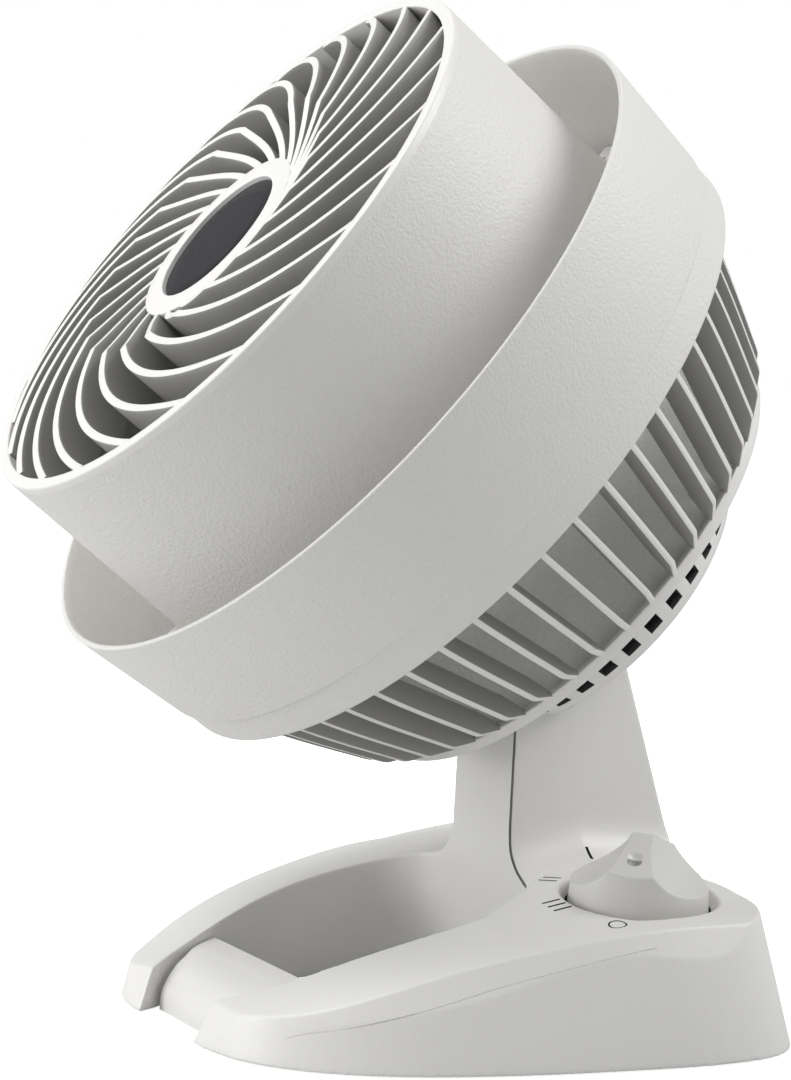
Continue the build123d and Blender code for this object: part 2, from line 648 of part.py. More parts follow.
with BuildPart() as grille_screws:
    with BuildSketch(HEAD.offset(-flange_rear)):
        with PolarLocations(grille_screw_pcd_r, standoff_count, start_angle=standoff_phase):
            Circle(screw_head_r)
    extrude(amount=-screw_head_t)
    with BuildSketch(HEAD.offset(-flange_rear)):
        with PolarLocations(grille_screw_pcd_r, standoff_count, start_angle=standoff_phase):
            Circle(screw_r)
    extrude(amount=flange_rear - duct_end - 1.5)

# ---------------------------------------------------------------- rotor
with BuildPart() as motor_shaft:
    turned((0, shaft_front), (shaft_r, shaft_front), (shaft_r, 166.5), (0, 166.5))
with BuildPart() as rotor_core:
    turned((shaft_r, stator_front + 1), (rotor_r, stator_front + 1), (rotor_r, stator_rear - 1),
           (shaft_r, stator_rear - 1))
blade_rise = prop_rear - prop_front - 6
blade_path_r = 65
with BuildPart() as blade:
    with BuildLine():
        path = Helix(pitch=blade_rise * 360 / blade_sweep, height=blade_rise, radius=blade_path_r,
                     center=(0, 0, -prop_rear + 3))
    with BuildSketch(Plane(origin=path @ 0, x_dir=(1, 0, 0), z_dir=path % 0)):
        with Locations(((prop_hub_r + prop_tip_r) / 2 - blade_path_r - 0.75, 0)):
            Rectangle(prop_tip_r - prop_hub_r + 1.5, blade_t)
    sweep(path=path.edge(), is_frenet=True)
with BuildPart(HEAD) as propeller:
    turned((shaft_r, prop_front + 2), (18, prop_front + 2), (27, prop_front + 4),
           (prop_hub_r, prop_front + 9), (prop_hub_r, prop_rear),
           (prop_hub_r - 2.4, prop_rear), (prop_hub_r - 2.4, prop_front + 10),
           (26, prop_front + 6.6), (10, prop_front + 5), (10, prop_rear - 4), (shaft_r, prop_rear - 4))
    with PolarLocations(0, blade_count):
        add(blade.part)
with BuildPart() as propeller_nut:
    with BuildSketch(HEAD.offset(-prop_front - 2)):
        RegularPolygon(8, 6)
        Circle(shaft_r, mode=Mode.SUBTRACT)
    extrude(amount=5)

# ---------------------------------------------------------------- export
base_shell.part.label = "base_shell"
pedestal_front_cover.part.label = "pedestal_front_cover"
base_bottom_cover.part.label = "base_bottom_cover"
base_screws.part.label = "base_screws"
rubber_feet.part.label = "rubber_feet"
ramp_plate.part.label = "ramp_plate"
cord_inlet_grommet.part.label = "cord_inlet_grommet"
hinge_pin.part.label = "hinge_pin"
hinge_nut.part.label = "hinge_nut"
friction_washers.part.label = "friction_washers"
speed_switch_body.part.label = "speed_switch_body"
switch_nut.part.label = "switch_nut"
speed_knob.part.label = "speed_knob"
switch_shaft.part.label = "switch_shaft"
front_grille.part.label = "front_grille"
badge_disc.part.label = "badge_disc"
inner_duct.part.label = "inner_duct"
outer_ring.part.label = "outer_ring"
duct_standoffs.part.label = "duct_standoffs"
rear_grille.part.label = "rear_grille"
motor_cowl.part.label = "motor_cowl"
rear_motor_cap.part.label = "rear_motor_cap"
head_hinge_bracket.part.label = "head_hinge_bracket"
motor_front_bracket.part.label = "motor_front_bracket"
motor_rear_bracket.part.label = "motor_rear_bracket"
front_bearing.part.label = "front_bearing"
rear_bearing.part.label = "rear_bearing"
stator_core.part.label = "stator_core"
stator_windings.part.label = "stator_windings"
motor_screws.part.label = "motor_screws"
grille_screws.part.label = "grille_screws"
motor_shaft.part.label = "motor_shaft"
rotor_core.part.label = "rotor_core"
propeller.part.label = "propeller"
propeller_nut.part.label = "propeller_nut"
export_step(base_shell.part, "parts/base_shell.step")
export_step(pedestal_front_cover.part, "parts/pedestal_front_cover.step")
export_step(base_bottom_cover.part, "parts/base_bottom_cover.step")
export_step(base_screws.part, "parts/base_screws.step")
export_step(rubber_feet.part, "parts/rubber_feet.step")
export_step(ramp_plate.part, "parts/ramp_plate.step")
export_step(cord_inlet_grommet.part, "parts/cord_inlet_grommet.step")
export_step(hinge_pin.part, "parts/hinge_pin.step")
export_step(hinge_nut.part, "parts/hinge_nut.step")
export_step(friction_washers.part, "parts/friction_washers.step")
export_step(speed_switch_body.part, "parts/speed_switch_body.step")
export_step(switch_nut.part, "parts/switch_nut.step")
export_step(speed_knob.part, "parts/speed_knob.step")
export_step(switch_shaft.part, "parts/switch_shaft.step")
export_step(front_grille.part, "parts/front_grille.step")
export_step(badge_disc.part, "parts/badge_disc.step")
export_step(inner_duct.part, "parts/inner_duct.step")
export_step(outer_ring.part, "parts/outer_ring.step")
export_step(duct_standoffs.part, "parts/duct_standoffs.step")
export_step(rear_grille.part, "parts/rear_grille.step")
export_step(motor_cowl.part, "parts/motor_cowl.step")
export_step(rear_motor_cap.part, "parts/rear_motor_cap.step")
export_step(head_hinge_bracket.part, "parts/head_hinge_bracket.step")
export_step(motor_front_bracket.part, "parts/motor_front_bracket.step")
export_step(motor_rear_bracket.part, "parts/motor_rear_bracket.step")
export_step(front_bearing.part, "parts/front_bearing.step")
export_step(rear_bearing.part, "parts/rear_bearing.step")
export_step(stator_core.part, "parts/stator_core.step")
export_step(stator_windings.part, "parts/stator_windings.step")
export_step(motor_screws.part, "parts/motor_screws.step")
export_step(grille_screws.part, "parts/grille_screws.step")
export_step(motor_shaft.part, "parts/motor_shaft.step")
export_step(rotor_core.part, "parts/rotor_core.step")
export_step(propeller.part, "parts/propeller.step")
export_step(propeller_nut.part, "parts/propeller_nut.step")
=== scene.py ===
import bpy, bmesh, math
from mathutils import Matrix, Vector
from mathutils.bvhtree import BVHTree


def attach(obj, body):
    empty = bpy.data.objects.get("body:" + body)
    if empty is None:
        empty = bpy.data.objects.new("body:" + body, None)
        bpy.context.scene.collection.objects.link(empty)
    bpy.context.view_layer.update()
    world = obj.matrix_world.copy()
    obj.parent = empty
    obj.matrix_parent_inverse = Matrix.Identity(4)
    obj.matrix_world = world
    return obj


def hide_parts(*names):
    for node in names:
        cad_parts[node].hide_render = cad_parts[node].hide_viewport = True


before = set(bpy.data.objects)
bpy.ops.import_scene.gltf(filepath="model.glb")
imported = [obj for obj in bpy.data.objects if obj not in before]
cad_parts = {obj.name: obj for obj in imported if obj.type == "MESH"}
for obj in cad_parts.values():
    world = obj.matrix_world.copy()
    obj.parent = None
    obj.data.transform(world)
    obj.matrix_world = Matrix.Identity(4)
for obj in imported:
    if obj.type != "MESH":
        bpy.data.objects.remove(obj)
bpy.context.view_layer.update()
mm = 0.001

# the head's rim centre, and its axes: x across, y up along the rim, z forwards out of the fan
head = {"tilt": 40.0, "rimY": -77.05, "rimZ": 269.0}
tiltCos, tiltSin = math.cos(math.radians(head["tilt"])), math.sin(math.radians(head["tilt"]))
headPlace = Matrix(((1, 0, 0, 0), (0, tiltSin, -tiltCos, head["rimY"] * mm),
                    (0, tiltCos, tiltSin, head["rimZ"] * mm), (0, 0, 0, 1))) @ Matrix.Scale(mm, 4)
dial = {"x": 75.0, "y": 44.25, "z": 48.0, "lean": 8.0, "pointer": -39.0}
dialPlace = (Matrix.Translation((dial["x"] * mm, dial["y"] * mm, dial["z"] * mm))
             @ Matrix.Rotation(math.radians(dial["lean"]), 4, "Y") @ Matrix.Scale(mm, 4))


# materials
def toLinear(hexText):
    channels = [int(hexText[i:i + 2], 16) / 255 for i in (1, 3, 5)]
    return [c / 12.92 if c <= 0.04045 else ((c + 0.055) / 1.055) ** 2.4 for c in channels] + [1.0]


def addNode(tree, kind, inputs=None, **settings):
    # adds a node, sets it up and links the sockets among its inputs
    node = tree.nodes.new(kind)
    for name, value in settings.items():
        setattr(node, name, value)
    for name, value in (inputs or {}).items():
        if isinstance(value, bpy.types.NodeSocket):
            tree.links.new(value, node.inputs[name])
        else:
            node.inputs[name].default_value = value
    return node


def newMaterial(name):
    material = bpy.data.materials.new(name)
    material.use_nodes = True
    material.node_tree.nodes.clear()
    return material, material.node_tree


# injection moulded plastic: a spark-eroded grain breaks up its soft highlight
def mouldedPlastic(name, colour, roughness, grainMm, grain, tint=0.04, grainDepth=0.15, shine=0.5):
    material, tree = newMaterial(name)
    place = addNode(tree, "ShaderNodeTexCoord").outputs["Object"]
    speckle = addNode(tree, "ShaderNodeTexNoise", {"Vector": place, "Scale": 1 / (grainMm * mm),
                                                  "Detail": 2.0, "Roughness": 0.6}).outputs["Fac"]
    cloud = addNode(tree, "ShaderNodeTexNoise", {"Vector": place, "Scale": 1 / (70 * mm),
                                                "Detail": 3.0}).outputs["Fac"]
    light = toLinear(colour)
    dark = [c * (1 - tint) for c in light[:3]] + [1.0]
    shade = addNode(tree, "ShaderNodeMix", {0: cloud, 6: dark, 7: light}, data_type="RGBA").outputs[2]
    gloss = addNode(tree, "ShaderNodeMapRange", {"Value": speckle, "From Min": 0.3, "From Max": 0.7,
                                                "To Min": roughness - 0.05, "To Max": roughness + 0.08})
    bump = addNode(tree, "ShaderNodeBump", {"Height": speckle, "Strength": grain,
                                            "Distance": grainDepth * mm})
    shader = addNode(tree, "ShaderNodeBsdfPrincipled", {"Base Color": shade, "IOR": 1.54,
                                                       "Specular IOR Level": shine,
                                                       "Roughness": gloss.outputs["Result"],
                                                       "Normal": bump.outputs["Normal"]})
    addNode(tree, "ShaderNodeOutputMaterial", {"Surface": shader.outputs["BSDF"]})
    return material


# turned, rolled or plated metal: fine streaks in the gloss
def plainMetal(name, colour, roughness, streakMm=0.4):
    material, tree = newMaterial(name)
    place = addNode(tree, "ShaderNodeTexCoord").outputs["Object"]
    streak = addNode(tree, "ShaderNodeTexNoise", {"Vector": place, "Scale": 1 / (streakMm * mm),
                                                 "Detail": 3.0}).outputs["Fac"]
    gloss = addNode(tree, "ShaderNodeMapRange", {"Value": streak, "From Min": 0.3, "From Max": 0.7,
                                                "To Min": roughness - 0.08, "To Max": roughness + 0.1})
    shader = addNode(tree, "ShaderNodeBsdfPrincipled", {"Base Color": toLinear(colour), "Metallic": 1.0,
                                                       "Roughness": gloss.outputs["Result"]})
    addNode(tree, "ShaderNodeOutputMaterial", {"Surface": shader.outputs["BSDF"]})
    return material


finishes = {
    # duct and ring: the grain is drawn coarser and deeper than the real one, so that it shows in the render
    "grainedAbs": mouldedPlastic("grainedWhiteAbs", "#E4E3E0", 0.46, 1.25, 1.0, grainDepth=0.3),
    "smoothAbs": mouldedPlastic("smoothWhiteAbs", "#E9E8E6", 0.36, 0.5, 0.1),  # polished tool, bright edges
    "paintedShadeAbs": mouldedPlastic("paintedShadeGreyAbs", "#A3A29F", 0.5, 0.5, 0.1),  # painted shade: grey on the vanes' and ribs' sides, inside the duct and in the knob's dimple
    "baseAbs": mouldedPlastic("baseWhiteAbs", "#E5E4E1", 0.4, 0.8, 0.55),  # finer grain, soft broad highlight
    "knobAbs": mouldedPlastic("satinKnobAbs", "#D6D5D1", 0.34, 0.6, 0.1),  # satin, so the grip's planes read
    "cowlAbs": mouldedPlastic("satinCowlAbs", "#D6D6D4", 0.24, 1.5, 0.05),  # shinier bell, a long highlight
    "greyPolypropylene": mouldedPlastic("greyPolypropylene", "#8F918F", 0.4, 0.6, 0.15),  # waxy grey blades
    "underAbs": mouldedPlastic("underCoverAbs", "#B9BAB9", 0.5, 0.7, 0.3),  # dull grey underneath
    "paintedShadeBlack": mouldedPlastic("paintedGrooveShadeBlack", "#1D1D1D", 0.6, 0.5, 0.05),  # painted shade: near black in the dial marks' real grooves, and a painted shadow in the gap round the knob
    "seamShade": mouldedPlastic("shadedSeamAbs", "#7A7976", 0.6, 0.5, 0.05),  # a seam's grey depth
    "paintedShadeCapInside": mouldedPlastic("paintedShadeCapInsideAbs", "#3A3A3B", 0.6, 0.6, 0.1),  # painted shade on the cap's inner skin and slot walls, so the slots read dark
    # the badge shines little, so it stays dark at the camera's low angle
    "badgeAcrylic": mouldedPlastic("darkBadgeAcrylic", "#17131A", 0.3, 0.5, 0.04, tint=0.15, shine=0.12),
    "blackNylon": mouldedPlastic("blackNylon", "#1B1B1C", 0.45, 0.5, 0.2),  # satin black
    "footRubber": mouldedPlastic("footRubber", "#222223", 0.7, 0.7, 0.4),  # dull black, no highlight
    "zincSteel": plainMetal("zincPlatedSteel", "#B9BBBE", 0.34),  # bluish, broad gleam
    "bearingSteel": plainMetal("groundBearingSteel", "#C9CACC", 0.2),  # bright narrow gleam
    "lamination": plainMetal("siliconSteelLamination", "#85878B", 0.45),  # dark stacked sheet
    "castAluminium": plainMetal("castAluminium", "#C2C4C6", 0.5, 1.2),  # dull cast skin
    "enamelCopper": plainMetal("enamelledCopperWire", "#B3622F", 0.3),  # lacquered red brown
}
print("materials ready")


# mesh helpers
def softCorners(points, radius, cuts=3):
    # rounds each corner of a closed outline; a third value on a point is its own radius
    out = []
    for i, point in enumerate(points):
        here = Vector(point[:2])
        before, after = Vector(points[i - 1][:2]), Vector(points[(i + 1) % len(points)][:2])
        size = point[2] if len(point) > 2 else radius
        reach = min(size, (before - here).length * 0.45, (after - here).length * 0.45)
        if reach < 0.02 or here.x < 0.01:
            out.append(tuple(here))
            continue
        a = here + (before - here).normalized() * reach
        b = here + (after - here).normalized() * reach
        for k in range(cuts + 1):
            t = k / cuts
            out.append(tuple(a * (1 - t) ** 2 + here * 2 * t * (1 - t) + b * t * t))
    return out


def curveThrough(points, count):
    # evenly numbered points of a smooth curve through the given ones
    spots = [Vector(p) for p in points]
    spots = [spots[0] * 2 - spots[1]] + spots + [spots[-1] * 2 - spots[-2]]
    out, spans = [], len(points) - 1
    for i in range(count):
        u = i / (count - 1) * spans
        k = min(int(u), spans - 1)
        t = u - k
        p0, p1, p2, p3 = spots[k:k + 4]
        out.append(0.5 * (2 * p1 + (p2 - p0) * t + (2 * p0 - 5 * p1 + 4 * p2 - p3) * t ** 2
                          + (3 * p1 - p0 - 3 * p2 + p3) * t ** 3))
    return out


def gridMesh(name, rows, closeRows=False, closeColumns=False):
    # skin over rows of points, each row as long as the next
    mesh = bpy.data.meshes.new(name)
    wide = len(rows[0])
    faces = []
    for i in range(len(rows) - (0 if closeRows else 1)):
        for j in range(wide - (0 if closeColumns else 1)):
            k, m = (i + 1) % len(rows), (j + 1) % wide
            faces.append((i * wide + j, i * wide + m, k * wide + m, k * wide + j))
    mesh.from_pydata([tuple(p) for row in rows for p in row], [], faces)
    return mesh


def tidyMesh(mesh, place=None, sharp=35.0, near=1e-4):
    # merges doubles, points the faces outwards and keeps edges sharper than the angle
    work = bmesh.new()
    work.from_mesh(mesh)
    bmesh.ops.remove_doubles(work, verts=work.verts, dist=near)
    bmesh.ops.recalc_face_normals(work, faces=work.faces)
    work.to_mesh(mesh)
    work.free()
    if place is not None:
        mesh.transform(place)
    mesh.shade_smooth()
    mesh.set_sharp_from_angle(angle=math.radians(sharp))
    return mesh


def turnedMesh(name, outline, steps=192):
    # outline of radius and distance forwards, turned round the head's axis
    rows = [[(r * math.cos(a), r * math.sin(a), z) for r, z in outline]
            for a in (2 * math.pi * i / steps for i in range(steps))]
    return tidyMesh(gridMesh(name, rows, True, True))


def newPiece(name, mesh, finish, body, nodes, place=None):
    # a finish of None keeps the materials that the mesh has
    if place is not None:
        mesh.transform(place)
    if finish and mesh.materials:
        mesh.materials.clear()
    if finish:
        mesh.materials.append(finishes[finish])
    piece = bpy.data.objects.new(name, mesh)
    bpy.context.scene.collection.objects.link(piece)
    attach(piece, body)
    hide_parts(*nodes)
    return piece


def boxMesh(place, size, unit=mm):
    # block given by its middle and its three sides
    work = bmesh.new()
    bmesh.ops.create_cube(work, size=1.0, matrix=Matrix.Translation(Vector(place) * unit)
                          @ Matrix.Diagonal([v * unit for v in size] + [1]))
    mesh = bpy.data.meshes.new("box")
    work.to_mesh(mesh)
    work.free()
    return mesh


def joinMeshes(name, meshes):
    work = bmesh.new()
    for mesh in meshes:
        work.from_mesh(mesh)
    joined = bpy.data.meshes.new(name)
    work.to_mesh(joined)
    work.free()
    joined.shade_smooth()
    joined.set_sharp_from_angle(angle=math.radians(35))
    return joined


# copies of one mesh turned round the z axis, with the count and first angle as inputs
def spinTree():
    tree = bpy.data.node_groups.new("turnRoundAxis", "GeometryNodeTree")
    for title, kind, way in (("Piece", "Geometry", "INPUT"), ("Count", "Int", "INPUT"),
                             ("First Angle", "Float", "INPUT"), ("Finish", "Material", "INPUT"),
                             ("Result", "Geometry", "OUTPUT")):
        tree.interface.new_socket(title, in_out=way, socket_type="NodeSocket" + kind)
    given = addNode(tree, "NodeGroupInput").outputs
    single = addNode(tree, "GeometryNodeGeometryToInstance", {0: given["Piece"]}).outputs[0]
    many = addNode(tree, "GeometryNodeDuplicateElements", {"Geometry": single, "Amount": given["Count"]},
                   domain="INSTANCE")
    step = addNode(tree, "ShaderNodeMath", {0: 2 * math.pi, 1: given["Count"]}, operation="DIVIDE").outputs[0]
    first = addNode(tree, "ShaderNodeMath", {0: given["First Angle"]}, operation="RADIANS").outputs[0]
    angle = addNode(tree, "ShaderNodeMath", {0: many.outputs["Duplicate Index"], 1: step, 2: first},
                    operation="MULTIPLY_ADD").outputs[0]
    turn = addNode(tree, "ShaderNodeCombineXYZ", {"Z": angle}).outputs[0]
    spun = addNode(tree, "GeometryNodeRotateInstances", {"Instances": many.outputs["Geometry"],
                                                        "Rotation": turn, "Local Space": False}).outputs[0]
    real = addNode(tree, "GeometryNodeRealizeInstances", {0: spun}).outputs[0]
    done = addNode(tree, "GeometryNodeSetMaterial", {"Geometry": real, "Material": given["Finish"]})
    addNode(tree, "NodeGroupOutput", {0: done.outputs[0]})
    return tree


spinRound = spinTree()


def spunMesh(name, mesh, count, firstAngle, finish):
    # runs the tree on one mesh and keeps the result
    piece = bpy.data.objects.new(name + "Work", mesh)
    bpy.context.scene.collection.objects.link(piece)
    modifier = piece.modifiers.new("spin", "NODES")
    modifier.node_group = spinRound
    values = {"Count": count, "First Angle": firstAngle, "Finish": finishes[finish]}
    for item in spinRound.interface.items_tree:
        if item.in_out == "INPUT" and item.name in values:
            modifier[item.identifier] = values[item.name]
    return bakedMesh(piece, name)


def bakedMesh(piece, name):
    # what the modifiers make of a piece, as a plain mesh; the work object goes
    result = bpy.data.meshes.new_from_object(piece.evaluated_get(bpy.context.evaluated_depsgraph_get()))
    result.name = name
    piece.modifiers.clear()
    bpy.data.objects.remove(piece)
    return result


# front grille: domed spiral vanes between the rim ring and the hub ring
# (outlines are radius and distance forwards, a third value rounds that corner)
grille = {"count": 25, "phase": 12.8, "thick": 3.0, "depth": 14.0, "open": 104.5, "stations": 60,
          "crest": (56.5, 7.5), "innerStep": 17.6,  # top of the dome, and how far in the vanes bend back
          "outerTurn": (48.6, -16.2, 14.4), "innerTurn": (-13.7, -8.5),  # degrees, for each power of the way
          # a vane's section, as shares of half its thickness and drops below its front edge
          "section": [(0.85, None), (1, -1.6), (1, -0.5), (0.9, -0.12), (0.7, 0)],
          "domeIn": [(33, 0.4), (35, 0.9)], "domeOut": [(70, 6.7), (85, 4.8), (97, 2.2), (104.6, -0.5)],
          "rimRing": [(104.4, -16), (104.4, -0.05, 0.6), (109, -0.05, 1.0), (109, -3, 0), (106.3, -3, 0),
                      (106.3, -16)],
          "hubRing": [(0, -1.6), (26.5, -1.6), (26.5, 1.2, 0.4), (35, 1.0, 0.5), (35, -14), (32.6, -14),
                      (32.6, -4), (0, -4)],
          "badge": [(0, 0.5), (20, 0.3), (26.3, -0.3), (26.3, -1.5), (0, -1.5)], "flankLimit": 0.5}


def spiralAngle(r):
    # how far a vane has turned round the axis at a radius
    crest = grille["crest"][0]
    way, turns = (r - crest) / (grille["open"] - crest), grille["outerTurn"]
    if r < crest:
        way, turns = (crest - r) / grille["innerStep"], grille["innerTurn"]
    return math.radians(sum(turn * way ** (k + 1) for k, turn in enumerate(turns)))


def vaneMesh():
    # the dome is two curves that meet in a sharp crest
    tops = (curveThrough(grille["domeIn"] + [grille["crest"]], grille["stations"] // 3)[:-1]
            + curveThrough([grille["crest"]] + grille["domeOut"], grille["stations"]))
    half = grille["thick"] / 2
    across = [(-half * share, drop) for share, drop in grille["section"]]
    across += [(half * share, drop) for share, drop in grille["section"][::-1]]
    rows = []
    for r, top in tops:
        turn = r * (spiralAngle(r + 0.1) - spiralAngle(r - 0.1)) / 0.2
        size = math.hypot(turn, 1)
        row = []
        for side, drop in across:
            radius = r - turn / size * side
            angle = spiralAngle(r) + side / size / r
            height = -grille["depth"] if drop is None else top + drop
            row.append((radius * math.cos(angle), radius * math.sin(angle), height))
        rows.append(row)
    return cappedMesh("vane", rows)


def cappedMesh(name, rows, near=1e-4):
    # closed bar through rows of points, its two ends filled
    mesh = gridMesh(name, rows, False, True)
    work = bmesh.new()
    work.from_mesh(mesh)
    work.verts.ensure_lookup_table()
    wide = len(rows[0])
    for start in (0, len(work.verts) - wide):
        work.faces.new([work.verts[start + k] for k in range(wide)])
    work.to_mesh(mesh)
    work.free()
    return tidyMesh(mesh, None, 30, near)


rimRing = turnedMesh("rimRing", softCorners(grille["rimRing"], 0.5))
hubRing = turnedMesh("hubRing", softCorners(grille["hubRing"], 0.6), 96)
vanes = spunMesh("vanes", vaneMesh(), grille["count"], grille["phase"], "smoothAbs")
grilleMesh = joinMeshes("frontGrille", [rimRing, hubRing, vanes])
newPiece("frontGrille", grilleMesh, "smoothAbs", "head", ["front_grille"])
grilleMesh.materials.append(finishes["paintedShadeAbs"])  # painted shade on the vanes' sides, so only their front edges stay white
for face in grilleMesh.polygons[len(rimRing.polygons) + len(hubRing.polygons):]:
    face.material_index = 1 if abs(face.normal.z) < grille["flankLimit"] else 0
grilleMesh.transform(headPlace)
newPiece("badgeDisc", turnedMesh("badgeDisc", softCorners(grille["badge"], 0.5), 96),
         "badgeAcrylic", "head", ["badge_disc"], headPlace)
print("front grille ready")

# ducts, ring and cowl, all turned
duct = {"rim": 109.0, "inside": 106.4, "front": -3.0, "wall": 2.5, "flareFrom": 76.0, "flareTo": 96.0,
        "flareRadius": 119.0, "steps": 8, "endLip": 0.4}
flare, innerFlare = [], []
for k in range(duct["steps"] + 1):
    share = k / duct["steps"]
    flare.append((duct["rim"] + (duct["flareRadius"] - duct["rim"]) * share ** 2,
                  -duct["flareFrom"] - (duct["flareTo"] - duct["flareFrom"]) * share))
    innerFlare.insert(0, (flare[-1][0] - duct["wall"], flare[-1][1] - duct["endLip"] * share))
ductFront = [(duct["inside"], duct["front"]), (duct["rim"], duct["front"])]
ductMesh = turnedMesh("innerDuct", ductFront + flare + innerFlare)
newPiece("innerDuct", ductMesh, "grainedAbs", "head", ["inner_duct"])
ductMesh.materials.append(finishes["paintedShadeAbs"])  # painted shade on the faces that look at the axis
for face in ductMesh.polygons:
    face.material_index = 1 if face.normal.x * face.center.x + face.normal.y * face.center.y < 0 else 0
ductMesh.transform(headPlace)

ring = {"outline": [(132.9, -53.1), (134.9, -53.1), (131.1, -97.9, 0.25), (130.0, -98.9, 0.25),
                    (129.7, -110.7, 1.2), (124, -110.7), (124, -108.5), (127.4, -108.5), (132.3, -55.5)]}
newPiece("outerRing", turnedMesh("outerRing", softCorners(ring["outline"], 0.7)), "grainedAbs", "head",
         ["outer_ring"], headPlace)

cowl = {"bell": [(87.5, -167.5), (79.5, -156), (70, -143), (66.5, -133), (66, -124)], "wall": 2.2,
        "front": [(64.5, -120.6), (43, -120.4), (43, -122.5), (62, -122.6)]}
bell = [(p.x, p.y) for p in curveThrough(cowl["bell"], 18)]
bellInner = [(r - cowl["wall"], z) for r, z in bell][::-1]
newPiece("motorCowl", turnedMesh("motorCowl", bell + softCorners(cowl["front"], 0.9) + bellInner),
         "cowlAbs", "head", ["motor_cowl"], headPlace)
print("ducts ready")

# rear grille: ribs that curve in to a band and a flat plate
# (each rib has an outer and an inner edge, and a knee where it turns in to the band; its section is shares of
# half its thickness, and drops below its outer edge)
ribs = {"count": 50, "thick": 2.4, "phase": -90.0, "sideLimit": 0.9, "stations": 12, "kneeStations": 7,
        "section": [(1, 0.45), (0.92, 0.12), (0.75, 0)], "innerShare": 0.75,
        "outer": [(123.5, -106), (118.5, -121), (112.3, -137), (103.6, -157.6)],
        "outerKnee": [(103.0, -158.8), (101.8, -160.2), (94.2, -166.8)],
        "inner": [(114.5, -106), (109.6, -119.5), (103.8, -134), (96.6, -152)],
        "innerKnee": [(96.0, -153.2), (95.4, -154.6), (92.6, -166.0)],
        "flange": [(117.5, -104), (127.2, -104), (127.2, -108.5), (117.5, -108.5)],
        "band": [(94.6, -165.6), (94.3, -170), (46, -170), (46, -167.5), (90.5, -167.5), (92.4, -165.4)]}


def ribMesh():
    outer, inner = [curveThrough(ribs[side], ribs["stations"])
                    + curveThrough(ribs[side + "Knee"], ribs["kneeStations"]) for side in ("outer", "inner")]
    half = ribs["thick"] / 2
    edge = [(-half * share, drop) for share, drop in ribs["section"]]
    edge += [(half * share, drop) for share, drop in ribs["section"][::-1]]
    rows = []
    for o, i in zip(outer, inner):
        inward = (i - o).normalized()
        row = [(i.x, -half * ribs["innerShare"], i.y)]
        for side, drop in edge:
            spot = o + inward * drop
            row.append((spot.x, side, spot.y))
        rows.append(row + [(i.x, half * ribs["innerShare"], i.y)])
    return cappedMesh("rib", rows)


flange = turnedMesh("flange", softCorners(ribs["flange"], 0.5))
band = turnedMesh("band", softCorners(ribs["band"], 0.5))
ribSet = spunMesh("ribSet", ribMesh(), ribs["count"], ribs["phase"], "smoothAbs")
rearMesh = joinMeshes("rearGrille", [flange, band, ribSet])
newPiece("rearGrille", rearMesh, "smoothAbs", "head", ["rear_grille"])
rearMesh.materials.append(finishes["paintedShadeAbs"])  # painted shade on the ribs' sides
for face in rearMesh.polygons[len(flange.polygons) + len(band.polygons):]:
    around = Vector((-face.center.y, face.center.x, 0)).normalized()
    face.material_index = 1 if abs(face.normal.dot(around)) > ribs["sideLimit"] else 0
rearMesh.transform(headPlace)
print("rear grille ready")

# rear cap: slots round the edge, and a notch that clears the pedestal
# (slot angles in degrees; the notch is a block, given by its middle and its sides)
cap = {"slots": 36, "slotHalf": 2.7, "slotEdge": 3.6, "slotFrom": 178.8, "slotTo": 189.6, "phase": -2.9,
       "slotRadii": (64, 62.3), "wall": 2.4, "softEdge": 0.35,
       "front": [(64, -170), (64, -175)], "bend": [(64, -184.5), (63.3, -187.2)],
       "back": [(61.5, -191), (59.6, -193.5), (57, -195.2), (53, -196.4), (40, -197.9), (20, -199.2),
                (0, -199.6)],
       "notch": ((0, -36.5, -192), (56, 59, 40))}


def capMesh():
    # turned skin whose faces over the slots are taken out
    first, last = [(r, -z) for r, z in zip(cap["slotRadii"], (cap["slotFrom"], cap["slotTo"]))]
    side = cap["front"] + [first] + cap["bend"] + [last] + cap["back"]
    pitch = 360 / cap["slots"]
    angles = []
    for k in range(cap["slots"]):
        angles += [pitch * k + a for a in (-pitch / 2, -cap["slotEdge"], -cap["slotHalf"], 0, cap["slotHalf"],
                                           cap["slotEdge"])]
    rows = []
    for turn in (math.radians(a + cap["phase"]) for a in angles):
        rows.append([(r * math.cos(turn), r * math.sin(turn), z) for r, z in side])
    mesh = gridMesh("capSkin", rows, True, False)
    work = bmesh.new()
    work.from_mesh(mesh)
    bmesh.ops.remove_doubles(work, verts=work.verts, dist=1e-3)
    holes = []
    for face in work.faces:
        middle = face.calc_center_median()
        around = (math.degrees(math.atan2(middle.y, middle.x)) - cap["phase"] + pitch / 2) % pitch - pitch / 2
        if abs(around) < cap["slotHalf"] and -cap["slotTo"] < middle.z < -cap["slotFrom"]:
            holes.append(face)
    bmesh.ops.delete(work, geom=holes, context="FACES")
    bmesh.ops.recalc_face_normals(work, faces=work.faces)
    work.to_mesh(mesh)
    work.free()
    return mesh


capWork = bpy.data.objects.new("capWork", capMesh())
bpy.context.scene.collection.objects.link(capWork)
